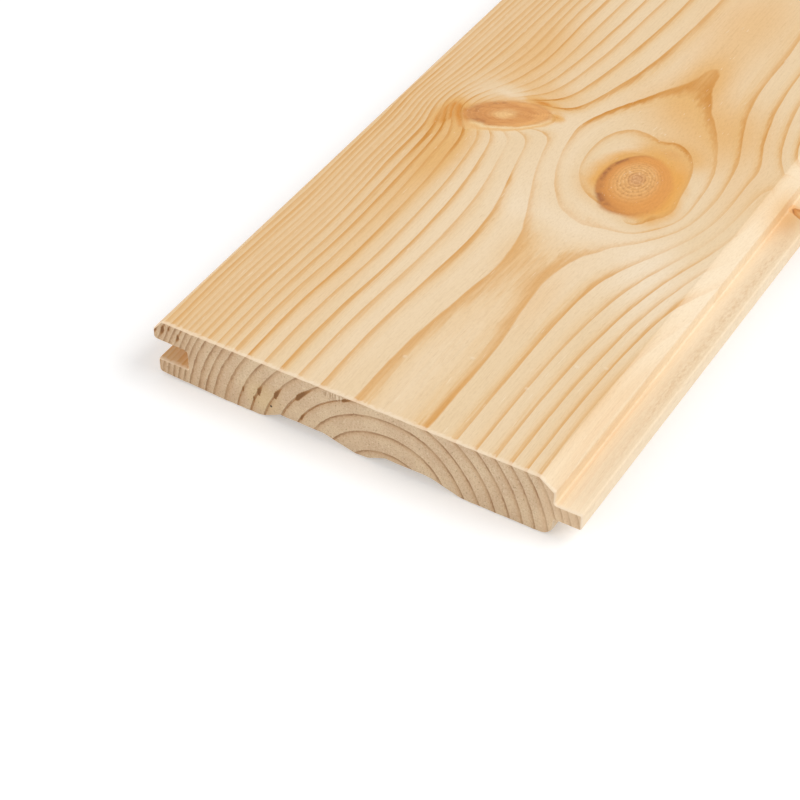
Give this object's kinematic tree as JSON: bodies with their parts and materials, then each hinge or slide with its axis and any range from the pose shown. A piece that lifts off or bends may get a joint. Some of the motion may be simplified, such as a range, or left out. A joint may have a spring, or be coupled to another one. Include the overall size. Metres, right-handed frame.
{
  "type": "tongue and groove board",
  "caption": "Planed softwood tongue and groove board with bevelled face edges and shallow relief channels along its back.",
  "frame": {"origin": "under the middle of the board, at the level of its back", "axes": "+Y along the board's length, +X towards the tongue edge, +Z out of the face"},
  "size_m": [0.096, 0.9, 0.014],
  "materials": {
    "pine": "planed, knotty, unfinished"
  },
  "bodies": {
    "root": {"board": "pine"}
  },
  "joints": []
}
